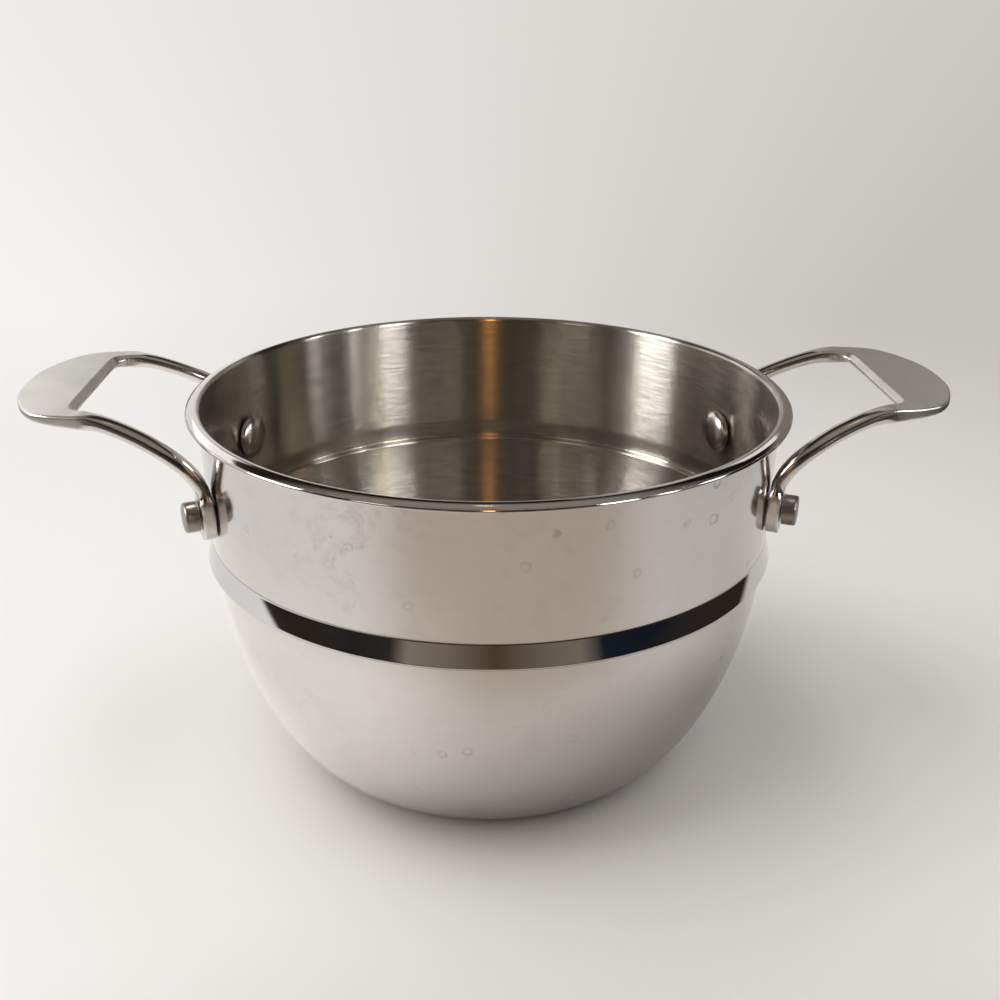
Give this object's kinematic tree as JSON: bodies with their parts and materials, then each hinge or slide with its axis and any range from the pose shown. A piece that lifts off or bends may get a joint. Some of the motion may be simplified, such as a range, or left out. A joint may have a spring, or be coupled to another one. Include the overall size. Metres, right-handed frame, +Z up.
{
  "type": "steamer basket",
  "caption": "Round stainless steel steamer basket with a drawn bowl, perforated flat base, shoulder band that rests on a pot rim, flared lip and riveted loop handles.",
  "frame": {"origin": "on the basket's axis, in the plane that its flat base stands on", "axes": "+Z up the basket's axis towards the open mouth, +X through the middle of the right handle's grip, +Y to the back"},
  "size_m": [0.321, 0.2102, 0.1413],
  "materials": {
    "shell_steel": "polished outside with a mirror band, brushed round the inside",
    "handle_steel": "polished casting with a satin grip",
    "rivet_steel": "polished heads, satin outer buttons"
  },
  "bodies": {
    "root": {"basket_shell": "shell_steel", "left_handle": "handle_steel", "right_handle": "handle_steel", "left_front_rivet": "rivet_steel", "left_back_rivet": "rivet_steel", "right_front_rivet": "rivet_steel", "right_back_rivet": "rivet_steel"}
  },
  "joints": []
}
